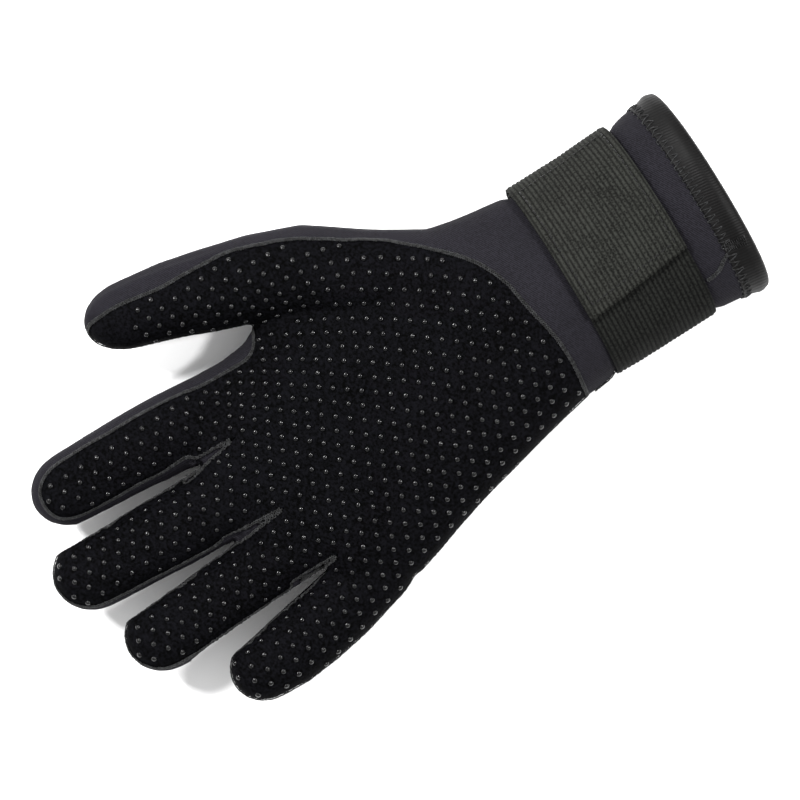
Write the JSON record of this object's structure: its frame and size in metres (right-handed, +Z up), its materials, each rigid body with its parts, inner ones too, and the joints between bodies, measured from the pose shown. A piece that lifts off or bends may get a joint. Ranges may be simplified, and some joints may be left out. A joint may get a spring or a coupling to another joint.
{
  "type": "diving glove",
  "caption": "Right-hand neoprene diving glove with a dotted grip palm, overlocked seams, bound cuff and a ribbed elastic wrist strap with a hook-and-loop tab.",
  "frame": {"origin": "middle of the glove's footprint on the surface that it rests on, at floor level", "axes": "+Y towards the fingertips, +Z up out of the palm, +X towards the thumb; the glove lies on its back with the palm up"},
  "size_m": [0.1478, 0.2554, 0.0478],
  "materials": {
    "charcoal_neoprene": "matte",
    "black_neoprene": "matte",
    "seam_thread": "matte",
    "binding_tape": "satin",
    "elastic_webbing": "matte"
  },
  "bodies": {
    "root": {"back_panel": "charcoal_neoprene", "palm_panel": "black_neoprene", "palm_seam": "seam_thread", "wrist_seam": "seam_thread", "cuff_binding": "binding_tape", "wrist_strap": "elastic_webbing", "strap_tab": "elastic_webbing"}
  },
  "joints": []
}
